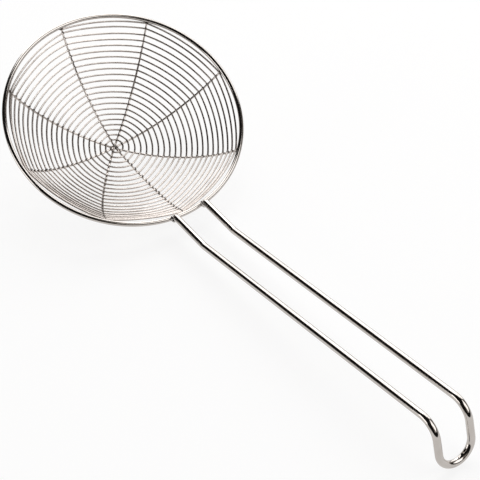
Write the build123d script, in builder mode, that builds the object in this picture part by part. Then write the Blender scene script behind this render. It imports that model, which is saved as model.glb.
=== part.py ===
# Spider skimmer: a bowl wound from one thin wire on four crossed wires, inside a rim ring, with a handle
# bent from a single thick wire whose closed end is turned down as a hanging loop. All of it is welded steel wire.
# It lies the way it rests on a table, on its bowl and on the tip of the loop. +X runs along the handle
# to the loop, +Z is up, and the origin is on the table under the middle of the whole piece.

import os
from math import acos, asin, atan2, ceil, cos, degrees, hypot, pi, radians, sin, sqrt

from build123d import *

# Rim ring
rim_radius = 75.0
rim_wire_radius = 1.5

# Bowl: a part of a sphere, measured from the rim's centre plane to the cross wires' centre line at the hub
bowl_depth = 39.0
cross_wire_count = 4
cross_wire_radius = 0.7
hub_lap_lift = 0.06

# Spiral wire, wound outward from the hub on the inner side of the cross wires
spiral_wire_radius = 0.6
spiral_start_radius = 4.6
spiral_turns = 21
rim_turn_share = 0.5
sector_bend = 30.0
bends_per_sector = 3

# All wires are round, drawn with flat sides. Two sides of each thin wire face the bowl's inside and outside.
thick_wire_sides = 12
thin_wire_sides = 6

# Handle: one wire bent into two equal legs, which are joined by the loop at the far end
handle_wire_radius = 2.2
leg_spacing = 21.8
leg_overhang = 1.6
foot_length = 33.0
foot_rise = 21.7
kink_radius = 10.0
shank_length = 200.0
shank_rise = 33.2
hook_radius = 11.2
hook_turn = 86.0
hook_drop = 10.0

# Welds
weld_gap = 0.05
hub_weld_radius = 2.9
hub_weld_height = 0.9
hub_weld_taper = 45.0
rib_weld_radius = 1.3
rib_weld_width = 2.0
handle_weld_radius = 3.8
handle_weld_height = 3.2
handle_weld_taper = 20.0
weld_sides = 8

# Sizes that follow from the ones above
bowl_radius = (rim_radius**2 + bowl_depth**2) / (2 * bowl_depth)
bowl_centre_height = bowl_radius - bowl_depth
flat_share = cos(pi / thin_wire_sides)
cross_wire_flat = cross_wire_radius * flat_share
spiral_wire_flat = spiral_wire_radius * flat_share
rib_count = 2 * cross_wire_count
sector = 360 / rib_count


# One leg in side view, in x from the bowl's axis and y above the rim's centre plane. It crosses the rim
# on top of it, and its end stops just inside the ring.
crossing_x = sqrt(rim_radius**2 - (leg_spacing / 2) ** 2)
crossing_rise = rim_wire_radius + handle_wire_radius + weld_gap
leg_end = (
    crossing_x - crossing_rise * sin(radians(foot_rise)) - leg_overhang * cos(radians(foot_rise)),
    crossing_rise * cos(radians(foot_rise)) - leg_overhang * sin(radians(foot_rise)),
)
with BuildLine() as leg_line:
    foot = PolarLine(leg_end, leg_overhang + foot_length, foot_rise)
    kink = JernArc(foot @ 1, foot % 1, kink_radius, shank_rise - foot_rise)
    shank = PolarLine(kink @ 1, shank_length, shank_rise)
    hook = JernArc(shank @ 1, shank % 1, hook_radius, -hook_turn)
    drop = PolarLine(hook @ 1, hook_drop, shank_rise - hook_turn)
loop_tip = drop @ 1 + (drop % 1) * (leg_spacing / 2)

# At rest the table touches the cross wire under the handle and the tip of the loop,
# so the rim leans down towards the handle.
bowl_underside = bowl_radius + cross_wire_flat
tip_distance = hypot(loop_tip.X, loop_tip.Y - bowl_centre_height)
tip_angle = atan2(loop_tip.Y - bowl_centre_height, loop_tip.X)
rest_tilt = tip_angle + asin((bowl_underside - handle_wire_radius) / tip_distance)
rim_height = bowl_underside - bowl_centre_height * cos(rest_tilt)
back_reach = rim_radius * cos(rest_tilt) + rim_wire_radius
tip_reach = loop_tip.X * cos(rest_tilt) + loop_tip.Y * sin(rest_tilt) + handle_wire_radius
rim_plane = Plane(
    origin=((back_reach - tip_reach) / 2, 0, rim_height),
    x_dir=(cos(rest_tilt), 0, -sin(rest_tilt)),
    z_dir=(sin(rest_tilt), 0, cos(rest_tilt)),
)
bowl_axis = Axis(rim_plane.origin, rim_plane.z_dir)
bowl_centre = rim_plane.from_local_coords((0, 0, bowl_centre_height))


def spoke_plane(angle, sideways=0.0):
    """An upright plane through the bowl's axis, or beside it: x runs outward and y up from the rim's plane."""
    outward = rim_plane.x_dir * cos(radians(angle)) + rim_plane.y_dir * sin(radians(angle))
    aside = rim_plane.z_dir.cross(outward)
    return Plane(origin=rim_plane.origin + aside * sideways, x_dir=outward, z_dir=-aside)


# Rim ring: one wire bent round and butt welded
with BuildPart() as rim_ring:
    with BuildSketch(spoke_plane(0)):
        with Locations((rim_radius, 0)):
            RegularPolygon(rim_wire_radius, thick_wire_sides)
    revolve(axis=bowl_axis)
rim_ring.part.label = "rim_ring"


# Cross wires: each runs from rim to rim through the hub. There they are pressed into one thickness,
# so each keeps only its own layer of it. The layers are set a little high, so that none of them
# ends at the height where the wires are widest.
cross_wire_reach = degrees(asin(rim_radius / bowl_radius))
hub_plane = rim_plane.offset(-bowl_depth)
hub_layer = 2 * cross_wire_flat / cross_wire_count
hub_lap_radius = cross_wire_radius / sin(pi / rib_count) + weld_gap


def cross_wire(number):
    """One cross wire, counted from the one under the handle, with its ends cut to the rim."""
    plane = spoke_plane(number * sector)
    layer_bottom = number * hub_layer - cross_wire_flat + hub_lap_lift
    layer_top = layer_bottom + hub_layer
    with BuildPart() as wire:
        with BuildLine(plane) as arc:
            CenterArc((0, bowl_centre_height), bowl_radius, 270 - cross_wire_reach, 2 * cross_wire_reach)
        with BuildSketch(Plane(origin=arc.line @ 0, x_dir=plane.z_dir, z_dir=arc.line % 0)):
            RegularPolygon(cross_wire_radius, thin_wire_sides)
        sweep(path=arc.line)
        if number < cross_wire_count - 1:
            with BuildSketch(hub_plane.offset(layer_top)):
                Circle(hub_lap_radius)
            extrude(amount=2 * cross_wire_radius, mode=Mode.SUBTRACT)
        if number > 0:
            with BuildSketch(hub_plane.offset(layer_bottom)):
                Circle(hub_lap_radius)
            extrude(amount=-2 * cross_wire_radius, mode=Mode.SUBTRACT)
        with BuildSketch(spoke_plane(0)):
            with Locations((rim_radius, 0)):
                Circle(rim_wire_radius + weld_gap)
        revolve(axis=bowl_axis, mode=Mode.SUBTRACT)
    wire.part.label = f"cross_wire_{number + 1}"
    return wire.part


cross_wires = [cross_wire(number) for number in range(cross_wire_count)]


# Spiral wire: it starts at the cross wire to the left of the handle and runs anticlockwise, seen from above.
# Every turn bends sharply where it crosses a cross wire and gently in between, so the turns look like a web.
# Its last stretch lies against the inner side of the rim.
seat_radius = bowl_radius - cross_wire_flat - spiral_wire_flat - weld_gap
rim_contact = rim_wire_radius + spiral_wire_radius + weld_gap
start_lift = asin(spiral_start_radius / seat_radius)
rim_lift = asin(rim_radius / bowl_radius) - acos(
    (bowl_radius**2 + seat_radius**2 - rim_contact**2) / (2 * bowl_radius * seat_radius)
)
bends_per_turn = rib_count * bends_per_sector
web_radius_share = sin(radians(sector / 2)) / sin(radians(sector_bend / 2))
web_centre_share = cos(radians(sector / 2)) - web_radius_share * cos(radians(sector_bend / 2))


def web_share(angle):
    """A turn's distance from the bowl's axis, angle degrees from mid sector, over that at the cross wires."""
    beside = web_centre_share * sin(radians(angle))
    return web_centre_share * cos(radians(angle)) + sqrt(web_radius_share**2 - beside**2)


def spiral_bend(count):
    """The wire's centre at one of its bends, counted from its inner end."""
    turns = count / bends_per_turn
    lift = start_lift + (rim_lift - start_lift) * min(turns / spiral_turns, 1)
    from_mid_sector = (count % bends_per_sector) * sector / bends_per_sector - sector / 2
    distance = seat_radius * sin(lift) * web_share(from_mid_sector)
    angle = radians(sector + 360 * turns)
    height = bowl_centre_height - seat_radius * cos(lift)
    return rim_plane.from_local_coords((distance * cos(angle), distance * sin(angle), height))


bend_count = ceil((spiral_turns + rim_turn_share) * bends_per_turn)
spiral_points = [spiral_bend(count) for count in range(bend_count + 1)]
with BuildPart() as spiral_wire:
    with BuildLine() as spiral_line:
        Polyline(*spiral_points)
    inward = bowl_centre - spiral_points[0]
    along = spiral_line.line % 0
    with BuildSketch(Plane(origin=spiral_points[0], x_dir=inward.cross(along), z_dir=along)):
        RegularPolygon(spiral_wire_radius, thin_wire_sides)
    sweep(path=spiral_line.line, transition=Transition.RIGHT)
spiral_wire.part.label = "spiral_wire"

spiral_gap = min(
    (here - there).length - 2 * spiral_wire_radius
    for count, here in enumerate(spiral_points)
    for there in spiral_points[count + bends_per_turn // 2 :]
)
print(f"least gap between the spiral's turns: {spiral_gap:.2f} mm")


# Handle: half of it follows the leg and a quarter of the loop, and the other half is its mirror image
leg_path = spoke_plane(0, leg_spacing / 2).from_local_coords(leg_line.line)
loop_plane = Plane(
    origin=spoke_plane(0).from_local_coords(drop @ 1),
    x_dir=leg_path % 1,
    z_dir=(leg_path % 1).cross(rim_plane.y_dir),
)
with BuildLine(loop_plane) as loop_line:
    CenterArc((0, 0), leg_spacing / 2, 90, -90)
with BuildPart() as handle_wire:
    for path in (leg_path, loop_line.line):
        with BuildSketch(Plane(origin=path @ 0, x_dir=loop_plane.z_dir, z_dir=path % 0)):
            RegularPolygon(handle_wire_radius, thick_wire_sides)
        sweep(path=path)
    mirror(about=Plane.XZ)
handle_wire.part.label = "handle_wire"


# Hub weld: a low nugget on the inner side of the crossed wires
hub_weld_seat = bowl_centre_height - sqrt((bowl_radius - cross_wire_flat) ** 2 - hub_weld_radius**2)
with BuildPart() as hub_weld:
    with BuildSketch(rim_plane.offset(hub_weld_seat)):
        RegularPolygon(hub_weld_radius, weld_sides)
    extrude(amount=hub_weld_height, taper=hub_weld_taper)
hub_weld.part.label = "hub_weld"


# Rib end welds: a bead under each end of a cross wire, flush with the wire's inner side
bead_distance = bowl_radius + rib_weld_radius - cross_wire_flat
bead_lift = asin(rim_radius / bowl_radius) - rim_wire_radius / bowl_radius
bead_place = (bead_distance * sin(bead_lift), bowl_centre_height - bead_distance * cos(bead_lift))
with BuildPart() as rib_end_welds:
    for number in range(rib_count):
        with BuildSketch(spoke_plane(number * sector)):
            with Locations(bead_place):
                RegularPolygon(rib_weld_radius, weld_sides)
        extrude(amount=rib_weld_width / 2, both=True)
    add([rim_ring.part, *cross_wires], mode=Mode.SUBTRACT)
rib_end_welds.part.label = "rib_end_welds"


# Handle welds: a tapered bead round each leg where it crosses the rim, above the rim's centre plane
def handle_weld(side, name):
    """The bead on the leg at this side of the handle, +1 or -1."""
    with BuildPart() as weld:
        with BuildSketch(rim_plane):
            with Locations((crossing_x, side * leg_spacing / 2)):
                RegularPolygon(handle_weld_radius, weld_sides)
        extrude(amount=handle_weld_height, taper=handle_weld_taper)
        add([rim_ring.part, handle_wire.part], mode=Mode.SUBTRACT)
    weld.part.label = name
    return weld.part


handle_welds = [handle_weld(1, "handle_weld_left"), handle_weld(-1, "handle_weld_right")]


os.makedirs("parts", exist_ok=True)
wires = [rim_ring.part, *cross_wires, spiral_wire.part, handle_wire.part]
welds = [hub_weld.part, rib_end_welds.part, *handle_welds]
for piece in wires + welds:
    export_step(piece, f"parts/{piece.label}.step")
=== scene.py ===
from math import acos, asin, atan2, ceil, cos, degrees, exp, hypot, pi, radians, sin, sqrt, tan

import bpy
import numpy as np
from mathutils import Matrix, Vector, noise


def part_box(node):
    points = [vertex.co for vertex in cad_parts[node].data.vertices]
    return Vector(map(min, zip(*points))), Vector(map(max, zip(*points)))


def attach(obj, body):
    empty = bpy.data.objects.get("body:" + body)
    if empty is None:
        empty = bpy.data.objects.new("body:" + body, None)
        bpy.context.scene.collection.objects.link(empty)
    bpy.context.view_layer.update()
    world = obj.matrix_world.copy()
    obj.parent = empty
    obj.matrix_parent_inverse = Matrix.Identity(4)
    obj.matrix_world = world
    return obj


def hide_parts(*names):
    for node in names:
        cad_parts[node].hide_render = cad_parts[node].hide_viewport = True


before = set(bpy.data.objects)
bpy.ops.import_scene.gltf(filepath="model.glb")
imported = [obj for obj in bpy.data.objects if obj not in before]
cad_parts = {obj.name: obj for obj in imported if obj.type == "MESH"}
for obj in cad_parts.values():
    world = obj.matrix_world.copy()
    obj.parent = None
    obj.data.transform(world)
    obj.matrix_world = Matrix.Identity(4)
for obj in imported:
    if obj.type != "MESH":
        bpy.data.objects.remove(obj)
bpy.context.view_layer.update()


# Rim ring
# One 3 mm steel wire bent round, butt welded and chrome plated. It has been knocked in a little on one side.
# The other pieces are welded to it, and as the skimmer lies on a table it leans down towards the handle.
rim_radius = 0.075
rim_wire_radius = 0.0015
rest_tilt = radians(27.399194)
rim_low, rim_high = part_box("rim_ring")
rim_centre = (rim_low + rim_high) / 2
rim_turn = Matrix.Rotation(rest_tilt, 3, "Y")
thick_wire_sides = 32
rim_steps = 360
wire_bevel_share = 0.25
# The dent: how deep it is, the angle of its middle from the handle, how wide it is, how steeply it fades
# towards the hub, and how far out, as a share of the rim's radius, the wires follow it
dent_depth = 0.00085
dent_middle = radians(232)
dent_width = radians(38)
dent_fade = 4
dent_reach_share = 1.1


def from_rim(x, y, z):
    """A place given from the rim's centre: x towards the handle, y across it and z up out of the bowl."""
    distance = hypot(x, y)
    if distance < dent_reach_share * rim_radius:
        from_dent = (atan2(y, x) - dent_middle + pi) % (2 * pi) - pi
        pushed = dent_depth * exp(-((from_dent / dent_width) ** 2)) * (distance / rim_radius) ** dent_fade
        x, y = x * (1 - pushed / rim_radius), y * (1 - pushed / rim_radius)
    return rim_centre + rim_turn @ Vector((x, y, z))


def form_piece(name, corners, faces, wire_places=None):
    """A new piece from its corners and faces. A wire also has each face corner's place round and along it."""
    mesh = bpy.data.meshes.new(name)
    mesh.from_pydata([tuple(corner) for corner in corners], [], faces)
    if wire_places:
        layer = mesh.uv_layers.new(name="along_wire")
        layer.data.foreach_set("uv", [value for place in wire_places for value in place])
    mesh.shade_smooth()
    mesh.validate()
    piece = bpy.data.objects.new(name, mesh)
    bpy.context.scene.collection.objects.link(piece)
    return piece


def bend_wire(name, line, radius, sides, closed=False):
    """A round wire along a line of points, with its cut ends slightly rounded."""
    points = np.array(line, float)
    count = len(points)
    if closed:
        along = np.roll(points, -1, 0) - np.roll(points, 1, 0)
    else:
        along = np.gradient(points, axis=0)
    along /= np.linalg.norm(along, axis=1)[:, None]
    steps = np.linalg.norm(np.diff(points, axis=0), axis=1)
    travelled = np.concatenate([[0], np.cumsum(steps)])
    # Each ring of corners is turned as little as can be from the one before it, so the wire isn't twisted
    side = np.cross(along[0], (0, 0, 1))
    side /= np.linalg.norm(side)
    sides_of = [side]
    for here in along[1:]:
        side = side - here * (side @ here)
        side /= np.linalg.norm(side)
        sides_of.append(side)
    across = np.array(sides_of)
    upright = np.cross(along, across)
    if closed:
        twist = atan2(across[-1] @ upright[0], across[-1] @ across[0])
        share = np.linspace(0, 1, count, endpoint=False)[:, None]
        turned = -twist * share
        across, upright = (
            across * np.cos(turned) + upright * np.sin(turned),
            upright * np.cos(turned) - across * np.sin(turned),
        )
    rings = [(points[i], across[i], upright[i], radius, travelled[i]) for i in range(count)]
    if not closed:
        bevel = wire_bevel_share * radius
        first, last = rings[0], rings[-1]
        start = (first[0] - along[0] * bevel, first[1], first[2], first[3] - bevel, -bevel)
        stop = (last[0] + along[-1] * bevel, last[1], last[2], last[3] - bevel, last[4] + bevel)
        rings = [start, *rings, stop]
    corners, faces, places = [], [], []
    for centre, aside, up, width, _ in rings:
        for k in range(sides):
            angle = 2 * pi * k / sides
            corners.append(centre + width * (aside * cos(angle) + up * sin(angle)))
    total = len(rings)
    for i in range(total if closed else total - 1):
        j = (i + 1) % total
        here, there = rings[i][4], rings[j][4]
        if j < i:
            there = here + float(np.linalg.norm(points[0] - points[-1]))
        for k in range(sides):
            m = (k + 1) % sides
            faces.append((i * sides + k, i * sides + m, j * sides + m, j * sides + k))
            round_here, round_there = k / sides, (k + 1) / sides
            places += [(round_here, here), (round_there, here), (round_there, there), (round_here, there)]
    if not closed:
        faces.append(tuple(range(sides)))
        faces.append(tuple((total - 1) * sides + k for k in reversed(range(sides))))
        places += [(k / sides, -radius) for k in range(sides)]
        places += [(k / sides, travelled[-1] + radius) for k in range(sides)]
    girth = 2 * pi * radius
    return form_piece(name, corners, faces, [(round_share * girth, place) for round_share, place in places])


def link(tree, source, target):
    tree.links.new(source, target)


def bare_metal(name):
    """A metal finish with nothing on it yet: the material, its nodes and its shader."""
    material = bpy.data.materials.new(name)
    material.use_nodes = True
    tree = material.node_tree
    tree.nodes.clear()
    out = tree.nodes.new("ShaderNodeOutputMaterial")
    metal = tree.nodes.new("ShaderNodeBsdfPrincipled")
    metal.inputs["Metallic"].default_value = 1.0
    link(tree, metal.outputs["BSDF"], out.inputs["Surface"])
    return material, tree, metal


def mottle(tree, metal, scale, detail, edge, dull, bright):
    """Tints the metal in patches: dull where the pattern is under edge, bright where it is over 1 - edge."""
    where = tree.nodes.new("ShaderNodeTexCoord")
    patches = tree.nodes.new("ShaderNodeTexNoise")
    patches.inputs["Scale"].default_value = scale
    patches.inputs["Detail"].default_value = detail
    link(tree, where.outputs["Object"], patches.inputs["Vector"])
    tint = tree.nodes.new("ShaderNodeValToRGB")
    tint.color_ramp.elements[0].position = edge
    tint.color_ramp.elements[0].color = (*dull, 1)
    tint.color_ramp.elements[1].position = 1 - edge
    tint.color_ramp.elements[1].color = (*bright, 1)
    link(tree, patches.outputs["Fac"], tint.inputs["Fac"])
    link(tree, tint.outputs["Color"], metal.inputs["Base Color"])
    return patches


def raise_pattern(tree, metal, pattern, strength, depth):
    """Lifts the pattern out of the metal by this depth."""
    relief = tree.nodes.new("ShaderNodeBump")
    relief.inputs["Strength"].default_value = strength
    relief.inputs["Distance"].default_value = depth
    link(tree, pattern.outputs["Fac"], relief.inputs["Height"])
    link(tree, relief.outputs["Normal"], metal.inputs["Normal"])


# Lines from the drawing die: how many times longer than wide they are, and how far they stand out
die_line_stretch = 40
die_line_strength = 0.01
die_line_depth = 0.00001


def plated_steel(name, bright, dull, smooth, rough, cloud, grain):
    """Plated drawn wire: faint clouds in the plating, fine lines along the wire from the drawing die."""
    material, tree, metal = bare_metal(name)
    cloud_edge = 0.3
    mottle(tree, metal, cloud, 4.0, cloud_edge, dull, bright)
    wire = tree.nodes.new("ShaderNodeUVMap")
    wire.uv_map = "along_wire"
    stretch = tree.nodes.new("ShaderNodeMapping")
    stretch.inputs["Scale"].default_value = (grain, grain / die_line_stretch, 1)
    link(tree, wire.outputs["UV"], stretch.inputs["Vector"])
    lines = tree.nodes.new("ShaderNodeTexNoise")
    lines.inputs["Scale"].default_value = 1.0
    lines.inputs["Detail"].default_value = 3.0
    link(tree, stretch.outputs["Vector"], lines.inputs["Vector"])
    gloss = tree.nodes.new("ShaderNodeMapRange")
    gloss.inputs["From Min"].default_value = cloud_edge
    gloss.inputs["From Max"].default_value = 1 - cloud_edge
    gloss.inputs["To Min"].default_value = smooth
    gloss.inputs["To Max"].default_value = rough
    link(tree, lines.outputs["Fac"], gloss.inputs["Value"])
    link(tree, gloss.outputs["Result"], metal.inputs["Roughness"])
    raise_pattern(tree, metal, lines, die_line_strength, die_line_depth)
    return material


thick_plating = plated_steel(
    "thick_wire_plating",
    bright=(0.55, 0.515, 0.485),
    dull=(0.48, 0.445, 0.415),
    smooth=0.06,
    rough=0.11,
    cloud=90,
    grain=9000,
)
rim_line = []
for step in range(rim_steps):
    angle = 2 * pi * step / rim_steps
    rim_line.append(from_rim(rim_radius * cos(angle), rim_radius * sin(angle), 0))
rim_ring = bend_wire("rim_wire", rim_line, rim_wire_radius, thick_wire_sides, closed=True)
rim_ring.data.materials.append(thick_plating)
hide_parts("rim_ring")
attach(rim_ring, "root")


# Cross wires
# Four 1.4 mm steel wires, bent to the bowl's curve and crossed at the hub, where they are pressed together.
# Their ends are welded to the rim. They look paler than the spiral, and no rib runs quite straight out.
bowl_depth = 0.039
cross_wire_radius = 0.0007
cross_wire_count = 4
rib_count = 2 * cross_wire_count
bowl_radius = (rim_radius**2 + bowl_depth**2) / (2 * bowl_depth)
bowl_centre_height = bowl_radius - bowl_depth
rim_lift = asin(rim_radius / bowl_radius)
# How far each rib lies to the left of its even place at the hub, half-way out and at the rim, in mm,
# from the rib under the handle round to the left. These aren't sizes of the design: a separate program
# fitted all 24 to the ribs in the photograph.
rib_drifts = (
    (-0.15, 1.87, -3.04),
    (-1.03, -0.36, -0.50),
    (0.10, 0.18, 0.59),
    (0.64, -0.84, 1.93),
    (0.15, -0.16, 1.06),
    (1.03, 0.98, 3.49),
    (-0.10, 1.45, 3.52),
    (-0.64, 0.49, 6.07),
)
mm_in_a_metre = 1000
thin_wire_sides = 12
cross_wire_steps = 120
# The wires are stacked at the hub, this share of their radius apart, and out to this distance from it
hub_stack_share = 0.35
hub_reach = 0.006
rib_end_clearance = 0.0001


def rib_drift(rib, lift):
    """How far a rib lies to the left of its even place, this far up from the hub."""
    at_hub, half_way, at_rim = rib_drifts[rib % rib_count]
    up = min(lift / rim_lift, 1)
    drift = at_hub * (1 - up) * (1 - 2 * up) + half_way * 4 * up * (1 - up) + at_rim * up * (2 * up - 1)
    return drift / mm_in_a_metre


def in_bowl(lift, angle, radius, drift=0.0):
    """A place on a sphere round the bowl's centre. Lift goes up from the hub and angle goes round it."""
    distance = radius * sin(lift)
    x = distance * cos(angle) - drift * sin(angle)
    y = distance * sin(angle) + drift * cos(angle)
    return from_rim(x, y, bowl_centre_height - radius * cos(lift))


thin_plating = plated_steel(
    "thin_wire_plating",
    bright=(0.595, 0.548, 0.515),
    dull=(0.465, 0.422, 0.392),
    smooth=0.08,
    rough=0.16,
    cloud=160,
    grain=14000,
)
rib_plating = plated_steel(
    "rib_wire_plating",
    bright=(0.755, 0.698, 0.66),
    dull=(0.615, 0.568, 0.535),
    smooth=0.12,
    rough=0.22,
    cloud=160,
    grain=14000,
)
cross_wire_end_lift = rim_lift - (rim_wire_radius + rib_end_clearance) / bowl_radius
for number in range(cross_wire_count):
    from_middle = number - (cross_wire_count - 1) / 2
    line = []
    for step in range(cross_wire_steps + 1):
        lift = cross_wire_end_lift * (1 - 2 * step / cross_wire_steps)
        rib = number if lift > 0 else number + cross_wire_count
        fade = min(1, abs(lift) * bowl_radius / hub_reach)
        radius = bowl_radius + cross_wire_radius * from_middle * -hub_stack_share * (1 - fade)
        line.append(in_bowl(abs(lift), radians(360 * rib / rib_count), radius, rib_drift(rib, abs(lift))))
    wire = bend_wire(f"cross_wire_{number + 1}_drawn", line, cross_wire_radius, thin_wire_sides)
    wire.data.materials.append(rib_plating)
    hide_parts(f"cross_wire_{number + 1}")
    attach(wire, "root")


# Spiral wire
# One 1.2 mm steel wire, over five metres long, wound from the hub out on the inner side of the ribs. It is
# bent sharply at every rib and gently between them, and its last stretch lies against the rim.
spiral_wire_radius = 0.0006
spiral_wire_sides = 10
weld_sink = 0.0001
spiral_start_radius = 0.0046
spiral_turns = 21
rim_turn_share = 0.375
inner_sectors = 4
sector = 360 / rib_count
sector_bend = 30
seat_radius = bowl_radius - cross_wire_radius - spiral_wire_radius + weld_sink
start_lift = asin(spiral_start_radius / seat_radius)
rim_contact = rim_wire_radius + spiral_wire_radius
end_lift = rim_lift - acos(
    (bowl_radius**2 + seat_radius**2 - rim_contact**2) / (2 * bowl_radius * seat_radius)
)
web_radius_share = sin(radians(sector / 2)) / sin(radians(sector_bend / 2))
web_centre_share = cos(radians(sector / 2)) - web_radius_share * cos(radians(sector_bend / 2))
# The bend at a rib is rounded over this length, and over no more than this many degrees round the bowl
corner_length = 0.0005
widest_corner = 6.0
# Between the ribs the wire wanders by up to this much, growing over this many degrees from each rib
uneven_width = 0.00012
uneven_rise = 6
uneven_pace = 9.1
# The winding leans a little to the side of the handle: how far along and across it, in degrees, near the hub
# and from this share of the way up. The lean fades out just below the rim. A separate program fitted it to
# the turns in the photograph.
lean_at_hub = (0.29, -0.22)
lean_above = (1.18, -0.44)
lean_rise_share = 1 / 3
lean_fade = 14
# How much further up the bowl the wire lies than even winding would put it, in degrees, at each of these
# lifts, in the middle of each stretch between two ribs, from the one left of the handle round to the left.
# These aren't sizes of the design either: they were set one by one, in steps of 0.05, from shifts that a
# separate program found between the turns in the photograph and in this scene.
slip_lifts = (0, 10, 20, 30, 40, 48, 50.5, degrees(end_lift))
slips = (
    (0, -0.15, -0.35, -0.30, -0.05, 0.35, 0.40, 0),
    (0, 0.15, 0.10, 0.00, -0.10, -0.20, -0.20, 0),
    (0, 0.40, 0.40, 0.20, 0.20, 0.30, 0.25, 0),
    (0, -0.05, 0.00, -0.10, 0.00, -0.20, -0.30, 0),
    (0, -0.20, 0.10, 0.00, 0.25, 1.30, 1.60, 0),
    (0, -0.10, 0.15, 0.40, 1.05, 2.50, 2.50, 0),
    (0, 0.10, 0.30, 0.90, 2.30, 3.20, 2.20, 0),
    (0, 0.10, 0.20, 0.60, 2.00, 3.00, 2.00, 0),
)
# The line's points stand about this far apart, at least so many to a stretch, and closer near the ribs
winding_step = 0.0016
fewest_steps = 8
closeness_at_ribs = 1.6


def web_share(angle):
    """A turn's distance from the bowl's axis, angle degrees from mid sector, over that at the ribs."""
    beside = web_centre_share * sin(radians(angle))
    return web_centre_share * cos(radians(angle)) + sqrt(web_radius_share**2 - beside**2)


def even_lift(turns):
    """How far up from the hub even winding would put the wire after this many turns."""
    return start_lift + (end_lift - start_lift) * min(turns / spiral_turns, 1)


def slip(lift, angle):
    """How much further up the bowl the wire lies here than even winding would put it."""
    stretch, share = divmod(degrees(angle) / sector - 0.5, 1)
    share = 0.5 - 0.5 * cos(pi * share)
    here, beyond = (
        np.interp(degrees(lift), slip_lifts, slips[int(stretch + k) % rib_count]) for k in (0, 1)
    )
    return radians(here * (1 - share) + beyond * share)


def spiral_lift(turns, angle):
    """How far up from the hub the wire is after this many turns, with the winding's lean and slips."""
    lift = even_lift(turns)
    share = min(lift / rim_lift / lean_rise_share, 1)
    along, across = (a * (1 - share) + b * share for a, b in zip(lean_at_hub, lean_above))
    fade = 1 - min(lift / end_lift, 1) ** lean_fade
    return lift + radians(along * cos(angle) + across * sin(angle)) * fade + slip(lift, angle)


def spiral_place(turns):
    """The wire's centre after this many turns. It sets out left of the handle, anticlockwise from above."""
    even = sector + 360 * turns
    angle = radians(even)
    lift = spiral_lift(turns, angle)
    from_rib = abs((even + sector / 2) % sector - sector / 2)
    corner = min(widest_corner, degrees(corner_length / (seat_radius * sin(lift))))
    from_rib = sqrt(from_rib**2 + corner**2) - corner
    uneven = noise.noise(Vector((turns * uneven_pace, 3.7, 0.2))) * uneven_width
    uneven *= min(1, from_rib / uneven_rise) * (turns < spiral_turns - 1)
    distance = seat_radius * sin(lift) * web_share(sector / 2 - from_rib) + uneven
    height = bowl_centre_height - seat_radius * cos(lift)
    rib = int(even // sector)
    share = even / sector - rib
    drift = rib_drift(rib, lift) * (1 - share) + rib_drift(rib + 1, lift) * share
    x = distance * cos(angle) - drift * sin(angle)
    y = distance * sin(angle) + drift * cos(angle)
    return from_rim(x, y, height)


spiral_line = []
sector_total = round((spiral_turns + rim_turn_share) * rib_count)
for number in range(-inner_sectors, sector_total):
    lift = even_lift((number + 0.5) / rib_count)
    steps = max(fewest_steps, ceil(seat_radius * sin(lift) * radians(sector) / winding_step))
    for step in range(steps):
        share = 2 * step / steps - 1
        near = 0.5 - 0.5 * (1 - abs(share)) ** closeness_at_ribs
        place = 0.5 + (near if share > 0 else -near)
        spiral_line.append(spiral_place((number + place) / rib_count))
spiral_line.append(spiral_place(sector_total / rib_count))
spiral_wire = bend_wire("spiral_wire_wound", spiral_line, spiral_wire_radius, spiral_wire_sides)
spiral_wire.data.materials.append(thin_plating)
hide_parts("spiral_wire")
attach(spiral_wire, "root")


# Spot welds
# Every turn is spot welded to every rib. The two wires are pressed into each other there, and a small collar
# of dull metal stands out round the joint.
spot_weld_length = 0.00072
spot_weld_width = 0.00082
spot_weld_height = 0.00115
# Their sizes vary by up to this share. Each is drawn this many times as tall and cut off at its own height,
# which leaves it flat on top.
spot_weld_spread = 0.18
spot_weld_pressing = 1.35
# A turn's direction at a rib is taken this share of a turn to either side
beside_rib = 0.002


def lumps(name, places, rings, segments, rough=0.12, pressed=1.0):
    """Small uneven beads of weld metal, each given by its centre, three half sizes as vectors, and a seed.
    Where pressed is over 1, their tops are flat."""
    lump_fineness = 1.7
    corners, faces = [], []
    for centre, length, width, height, seed in places:
        first = len(corners)
        for i in range(rings + 1):
            down = pi * i / rings
            for k in range(1 if i in (0, rings) else segments):
                round_it = 2 * pi * k / segments
                spot = Vector((sin(down) * cos(round_it), sin(down) * sin(round_it), cos(down)))
                grow = 1 + rough * noise.noise(spot * lump_fineness + Vector((seed, seed * 0.37, 1.3)))
                rise = max(-1, min(1, spot.z * pressed))
                corners.append(centre + grow * (length * spot.x + width * spot.y) + height * rise)
        ring_starts = [first] + [first + 1 + (i - 1) * segments for i in range(1, rings)]
        last = first + 1 + (rings - 1) * segments
        for k in range(segments):
            m = (k + 1) % segments
            faces.append((first, ring_starts[1] + k, ring_starts[1] + m))
            for i in range(1, rings - 1):
                a, b = ring_starts[i], ring_starts[i + 1]
                faces.append((a + k, b + k, b + m, a + m))
            faces.append((last, ring_starts[rings - 1] + m, ring_starts[rings - 1] + k))
    return form_piece(name, corners, faces)


def weld_plating(name, bright, dull, smooth, rough, grain):
    """Plated weld metal: rougher than the wire, pitted and ripply."""
    material, tree, metal = bare_metal(name)
    pits = mottle(tree, metal, grain, 5.0, 0.35, dull, bright)
    gloss = tree.nodes.new("ShaderNodeMapRange")
    gloss.inputs["To Min"].default_value = rough
    gloss.inputs["To Max"].default_value = smooth
    link(tree, pits.outputs["Fac"], gloss.inputs["Value"])
    link(tree, gloss.outputs["Result"], metal.inputs["Roughness"])
    pit_strength, pit_depth = 0.35, 0.00008
    raise_pattern(tree, metal, pits, pit_strength, pit_depth)
    return material


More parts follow.
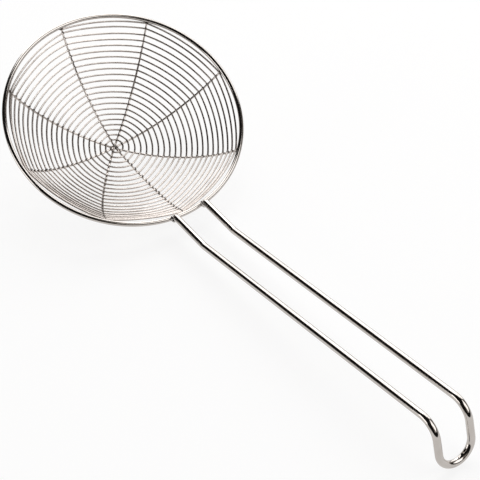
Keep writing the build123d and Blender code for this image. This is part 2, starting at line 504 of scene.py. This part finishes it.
weld_metal = weld_plating(
    "weld_metal_plating",
    bright=(0.26, 0.240, 0.226),
    dull=(0.12, 0.110, 0.103),
    smooth=0.14,
    rough=0.28,
    grain=1400,
)
bowl_centre = from_rim(0, 0, bowl_centre_height)
crossings = []
for number in range(1 - inner_sectors, spiral_turns * rib_count + 1):
    turns = number / rib_count
    centre = spiral_place(turns)
    outward = (centre - bowl_centre).normalized()
    ahead = spiral_place(turns + beside_rib) - spiral_place(turns - beside_rib)
    ahead.normalize()
    along_rib = outward.cross(ahead)
    size = 1 + spot_weld_spread * noise.noise(Vector((number * 1.37, 0.5, 0.9)))
    crossings.append(
        (
            centre + outward * (spiral_wire_radius - weld_sink),
            along_rib * spot_weld_length * size,
            ahead * spot_weld_width * size,
            outward * spot_weld_height * size,
            number * 0.71,
        )
    )
spot_welds = lumps("spot_welds", crossings, rings=8, segments=10, pressed=spot_weld_pressing)
spot_welds.data.materials.append(weld_metal)
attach(spot_welds, "root")


# Hub weld
# The four cross wires are melted together where they cross, into one low nugget with a short web of metal
# running out along each rib.
hub_weld_radius = 0.0013
hub_web_reach = 0.0011
hub_weld_height = 0.0009
hub_rings = 14
hub_segments = 96
# How narrow the webs are, how uneven and how finely so the nugget's outline is, how high and how fine the
# ripples on it are, how far its edge is drawn down, and the share of its radius that its foot has
hub_web_sharpness = 8
hub_outline_spread = 0.12
hub_outline_fineness = 1.5
hub_ripple_height = 0.00018
hub_ripple_fineness = 900
hub_edge_drop = 0.0006
hub_foot_share = 0.6
hub_top = bowl_radius - cross_wire_radius * 0.55
hub_foot = bowl_radius + cross_wire_radius * 0.6
corners, faces = [], []
for i in range(hub_rings + 1):
    share = i / hub_rings
    for k in range(hub_segments):
        angle = 2 * pi * k / hub_segments
        rib = angle / (2 * pi / rib_count)
        lobe = abs(cos(pi * rib)) ** hub_web_sharpness
        coarse_x, coarse_y = cos(angle) * hub_outline_fineness, sin(angle) * hub_outline_fineness
        lump = noise.noise(Vector((coarse_x, coarse_y, 0.4)))
        reach = (hub_weld_radius + hub_web_reach * lobe) * (1 + hub_outline_spread * lump)
        distance = reach * share
        fine = distance * hub_ripple_fineness
        ripple = hub_ripple_height * noise.noise(Vector((fine * cos(angle), fine * sin(angle), 2.0)))
        rise = hub_weld_height * sqrt(max(0, 1 - share**2)) + ripple * (1 - share**4)
        edge = hub_edge_drop * share**3
        corners.append(in_bowl(distance / bowl_radius, angle, hub_top - rise + edge))
for i in range(hub_rings):
    here, beyond = i * hub_segments, (i + 1) * hub_segments
    for k in range(hub_segments):
        m = (k + 1) % hub_segments
        faces.append((here + k, beyond + k, beyond + m, here + m))
below = len(corners)
for k in range(hub_segments):
    angle = 2 * pi * k / hub_segments
    corners.append(in_bowl(hub_weld_radius * hub_foot_share / bowl_radius, angle, hub_foot))
rim_of_hub = hub_rings * hub_segments
for k in range(hub_segments):
    m = (k + 1) % hub_segments
    faces.append((rim_of_hub + k, below + k, below + m, rim_of_hub + m))
faces.append(tuple(below + k for k in range(hub_segments)))
hub_nugget = form_piece("hub_nugget", corners, faces)
hub_nugget.data.materials.append(weld_metal)
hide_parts("hub_weld")
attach(hub_nugget, "root")


# Rib end welds
# Each end of a cross wire is welded to the inner side of the rim with a small bead of steel, which is plated
# with the rest.
rib_bead_length = 0.0016
rib_bead_width = 0.0011
rib_bead_lift = rim_lift - rim_wire_radius * 1.05 / bowl_radius
rib_bead_seat = bowl_radius + cross_wire_radius * 0.3
beside_bead = 0.01
beads = []
for rib in range(rib_count):
    angle = radians(360 * rib / rib_count) + rib_drift(rib, rim_lift) / rim_radius
    centre = in_bowl(rib_bead_lift, angle, rib_bead_seat)
    outward = (centre - bowl_centre).normalized()
    left_of_bead = in_bowl(rib_bead_lift, angle + beside_bead, bowl_radius)
    right_of_bead = in_bowl(rib_bead_lift, angle - beside_bead, bowl_radius)
    round_rim = (left_of_bead - right_of_bead).normalized()
    along_rib = outward.cross(round_rim)
    beads.append(
        (
            centre,
            along_rib * rib_bead_width,
            round_rim * rib_bead_length,
            outward * rib_bead_width,
            5 + rib * 2.3,
        )
    )
rib_beads = lumps("rib_end_beads", beads, rings=12, segments=20, rough=0.22)
rib_beads.data.materials.append(weld_metal)
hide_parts("rib_end_welds")
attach(rib_beads, "root")


# Handle
# One 4.4 mm steel wire bent double: two legs, joined by a round loop that is turned down to hang it all by.
# The legs stop just outside the rim and a little above it, and only the handle welds touch both.
handle_wire_radius = 0.0022
leg_spacing = 0.0218
# Carried on, a leg's middle line would pass this far over the rim wire's. The leg stops this far short of it.
leg_over_rim = rim_wire_radius + handle_wire_radius + 0.00005
leg_end_gap = 0.0034
foot_length = 0.033
foot_rise = radians(21.7)
kink_radius = 0.010
shank_length = 0.200
shank_rise = radians(33.2)
hook_radius = 0.0112
hook_turn = radians(86)
hook_drop = 0.010
crossing_x = sqrt(rim_radius**2 - (leg_spacing / 2) ** 2)
loop_steps = 48


def leg_side_view():
    """One leg's centre line in side view, in x from the bowl's axis and y above the rim's plane."""
    x = crossing_x - leg_over_rim * sin(foot_rise) + leg_end_gap * cos(foot_rise)
    y = leg_over_rim * cos(foot_rise) + leg_end_gap * sin(foot_rise)
    heading = foot_rise
    line = [(x, y)]
    # Each stretch of the leg: its length, how far it turns, and in how many steps
    stretches = (
        (foot_length - leg_end_gap, 0, 20),
        (kink_radius * (shank_rise - foot_rise), shank_rise - foot_rise, 10),
        (shank_length, 0, 90),
        (hook_radius * hook_turn, -hook_turn, 36),
        (hook_drop, 0, 8),
    )
    for length, turn, steps in stretches:
        for _ in range(steps):
            heading += turn / steps / 2
            x += length / steps * cos(heading)
            y += length / steps * sin(heading)
            heading += turn / steps / 2
            line.append((x, y))
    return line, heading


leg_line, drop_heading = leg_side_view()
handle_line = [from_rim(x, leg_spacing / 2, y) for x, y in leg_line]
drop_x, drop_y = leg_line[-1]
for step in range(1, loop_steps):
    angle = pi * step / loop_steps
    reach = leg_spacing / 2 * sin(angle)
    handle_line.append(
        from_rim(
            drop_x + reach * cos(drop_heading),
            leg_spacing / 2 * cos(angle),
            drop_y + reach * sin(drop_heading),
        )
    )
handle_line += [from_rim(x, -leg_spacing / 2, y) for x, y in reversed(leg_line)]
handle = bend_wire("handle_wire_bent", handle_line, handle_wire_radius, thick_wire_sides)
handle.data.materials.append(thick_plating)
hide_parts("handle_wire")
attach(handle, "root")


# Handle welds
# A rounded bead of weld metal on the outer side of the rim, under each leg's end, joins the two wires. It is
# plated with the rest.
handle_weld_metal = weld_plating(
    "handle_weld_plating",
    bright=(0.60, 0.565, 0.54),
    dull=(0.40, 0.375, 0.36),
    smooth=0.18,
    rough=0.36,
    grain=1100,
)
fillet_reach = 0.0024
fillet_length = 0.0020
fillet_height = 0.0019
fillet_outside = 0.0014
fillet_above = rim_wire_radius * 0.95
for side, place in ((1, "left"), (-1, "right")):
    across_rim = Vector((crossing_x, side * leg_spacing / 2, 0)).normalized()
    middle = across_rim * (rim_radius + fillet_outside)
    centre = from_rim(middle.x, middle.y, fillet_above)
    across_rim = rim_turn @ across_rim
    up = rim_turn @ Vector((0, 0, 1))
    round_rim = up.cross(across_rim)
    fillet = lumps(
        f"handle_fillet_{place}",
        [(centre, across_rim * fillet_reach, round_rim * fillet_length, up * fillet_height, 11 + side * 3.1)],
        rings=16,
        segments=28,
        rough=0.2,
    )
    fillet.data.materials.append(handle_weld_metal)
    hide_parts(f"handle_weld_{place}")
    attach(fillet, "root")


# Studio
# A white table, soft lamps behind, above, to the right and low at the left, and dark cloth round the rest,
# which the polished wire shows as black lines. The camera stands about where the photograph was taken from.
# A separate program fitted the camera's lens, its place and its two directions to the photograph.
camera_lens = 123.21
camera_place = Vector((0.61558, -0.38277, 0.65340))
ahead = Vector((-0.643012, 0.39885, -0.6538)).normalized()
right = Vector((0.57661, 0.813969, -0.070534))
right = (right - ahead * right.dot(ahead)).normalized()
above = right.cross(ahead)
camera_data = bpy.data.cameras.new("camera")
camera_data.sensor_width = 36
camera_data.lens = camera_lens
camera_data.clip_start = 0.01
camera = bpy.data.objects.new("camera", camera_data)
bpy.context.scene.collection.objects.link(camera)
camera.matrix_world = Matrix(
    (
        (right.x, above.x, -ahead.x, camera_place.x),
        (right.y, above.y, -ahead.y, camera_place.y),
        (right.z, above.z, -ahead.z, camera_place.z),
        (0, 0, 0, 1),
    )
)
bpy.context.scene.camera = camera
bpy.context.scene.view_settings.view_transform = "Standard"

# Directions in the studio are given round from straight behind the object, to the right of the picture
back_angle = atan2(ahead.y, ahead.x)


def studio_place(bearing, elevation, distance):
    """A place round the object: bearing degrees to the picture's right of straight back, and elevation up."""
    angle = back_angle - radians(bearing)
    flat = distance * cos(radians(elevation))
    return Vector((flat * cos(angle), flat * sin(angle), distance * sin(radians(elevation))))


def shown_to_lens(tree):
    """1 for rays that come from the camera or a shiny or clear surface, and 0 for the others."""
    path = tree.nodes.new("ShaderNodeLightPath")
    first = tree.nodes.new("ShaderNodeMath")
    first.operation = "MAXIMUM"
    link(tree, path.outputs["Is Camera Ray"], first.inputs[0])
    link(tree, path.outputs["Is Glossy Ray"], first.inputs[1])
    second = tree.nodes.new("ShaderNodeMath")
    second.operation = "MAXIMUM"
    link(tree, first.outputs["Value"], second.inputs[0])
    link(tree, path.outputs["Is Transmission Ray"], second.inputs[1])
    return second.outputs["Value"]


# The room behind the table lights the object a little, and shows as white
room_light = 0.2
shown_white = 1.0
world = bpy.data.worlds.new("studio")
world.use_nodes = True
bpy.context.scene.world = world
tree = world.node_tree
tree.nodes.clear()
out = tree.nodes.new("ShaderNodeOutputWorld")
room = tree.nodes.new("ShaderNodeBackground")
room.inputs["Color"].default_value = (1, 1, 1, 1)
room.inputs["Strength"].default_value = room_light
white = tree.nodes.new("ShaderNodeBackground")
white.inputs["Color"].default_value = (1, 1, 1, 1)
white.inputs["Strength"].default_value = shown_white
choose = tree.nodes.new("ShaderNodeMixShader")
link(tree, shown_to_lens(tree), choose.inputs["Fac"])
link(tree, room.outputs["Background"], choose.inputs[1])
link(tree, white.outputs["Background"], choose.inputs[2])
link(tree, choose.outputs["Shader"], out.inputs["Surface"])

# The table is matt white paper. This share of what is seen of it is plain white, and the rest has the shadow.
table_half = 1.5
table_below = 0.0002
plain_white_share = 0.8
table_mesh = bpy.data.meshes.new("white_table")
table_corners = [(table_half * x, table_half * y, 0) for x, y in ((-1, -1), (1, -1), (1, 1), (-1, 1))]
table_mesh.from_pydata(table_corners, [], [(0, 1, 2, 3)])
table = bpy.data.objects.new("white_table", table_mesh)
table.location.z = -table_below
bpy.context.scene.collection.objects.link(table)
paper = bpy.data.materials.new("white_paper")
paper.use_nodes = True
tree = paper.node_tree
tree.nodes.clear()
out = tree.nodes.new("ShaderNodeOutputMaterial")
matt = tree.nodes.new("ShaderNodeBsdfDiffuse")
matt.inputs["Color"].default_value = (0.93, 0.92, 0.915, 1)
glow = tree.nodes.new("ShaderNodeEmission")
glow.inputs["Color"].default_value = (1, 1, 1, 1)
glow.inputs["Strength"].default_value = shown_white
share = tree.nodes.new("ShaderNodeMath")
share.operation = "MULTIPLY"
share.inputs[1].default_value = plain_white_share
link(tree, shown_to_lens(tree), share.inputs[0])
choose = tree.nodes.new("ShaderNodeMixShader")
link(tree, share.outputs["Value"], choose.inputs["Fac"])
link(tree, matt.outputs["BSDF"], choose.inputs[1])
link(tree, glow.outputs["Emission"], choose.inputs[2])
link(tree, choose.outputs["Shader"], out.inputs["Surface"])
table_mesh.materials.append(paper)

# Soft lamps: bearing and elevation of the middle, half width and half height as seen from the object, in
# degrees, and brightness
lamp_distance = 3.0
lamps = {
    "lamp_behind": (-9, 29, 20, 30, 2.3),
    "lamp_behind_right": (33, 30, 21, 25, 2.1),
    "lamp_above": (15, 64, 18, 7, 2.2),
    "lamp_right": (110, 41, 22, 22, 2.2),
    "lamp_left": (-104, 8, 17, 17, 2.4),
}
for name, (bearing, elevation, half_width, half_height, brightness) in lamps.items():
    lamp_data = bpy.data.lights.new(name, "AREA")
    lamp_data.shape = "RECTANGLE"
    lamp_data.size = 2 * lamp_distance * tan(radians(half_width))
    lamp_data.size_y = 2 * lamp_distance * tan(radians(half_height))
    lamp_data.energy = brightness * pi * lamp_data.size * lamp_data.size_y
    lamp = bpy.data.objects.new(name, lamp_data)
    lamp.location = studio_place(bearing, elevation, lamp_distance)
    lamp.rotation_mode = "QUATERNION"
    lamp.rotation_quaternion = (-lamp.location).to_track_quat("-Z", "Y")
    bpy.context.scene.collection.objects.link(lamp)

# Cloth hangs round the rest, all of it faintly warm. It is dark, apart from two paler lengths, given as
# lowest and highest bearing, lowest and highest elevation, in degrees, and how pale they are.
cloth_distance = 4.5
cloth_width = 4
cloth_height = 2
cloth_bottom, cloth_top = -12, 90
dark_cloth = 0.012
pale_cloth = (
    (60, 84, 0, 60, 0.25),
    (132, 164, 20, 60, 0.5),
)
cloth_tint = (1.1, 1, 0.9)
palenesses = [dark_cloth] + [length[-1] for length in pale_cloth]
corners, faces, shades = [], [], []
for bearing in range(-180, 180, cloth_width):
    for elevation in range(cloth_bottom, cloth_top, cloth_height):
        mid_bearing = bearing + cloth_width / 2
        mid_elevation = elevation + cloth_height / 2
        shade = dark_cloth
        for low_bearing, high_bearing, lowest, highest, paleness in pale_cloth:
            if low_bearing <= mid_bearing <= high_bearing and lowest <= mid_elevation <= highest:
                shade = paleness
        first = len(corners)
        for right_by, up_by in ((0, 0), (cloth_width, 0), (cloth_width, cloth_height), (0, cloth_height)):
            corners.append(studio_place(bearing + right_by, elevation + up_by, cloth_distance))
        faces.append((first, first + 1, first + 2, first + 3))
        shades.append(palenesses.index(shade))
cloth_mesh = bpy.data.meshes.new("cloth")
cloth_mesh.from_pydata([tuple(corner) for corner in corners], [], faces)
for paleness in palenesses:
    felt = bpy.data.materials.new("felt")
    felt.use_nodes = True
    fibres = felt.node_tree.nodes["Principled BSDF"]
    fibres.inputs["Base Color"].default_value = (*(tint * paleness for tint in cloth_tint), 1)
    fibres.inputs["Roughness"].default_value = 1.0
    cloth_mesh.materials.append(felt)
cloth_mesh.polygons.foreach_set("material_index", shades)
cloth = bpy.data.objects.new("cloth", cloth_mesh)
bpy.context.scene.collection.objects.link(cloth)
cloth.visible_camera = False
cloth.visible_diffuse = False
cloth.visible_shadow = False
cloth.visible_transmission = False
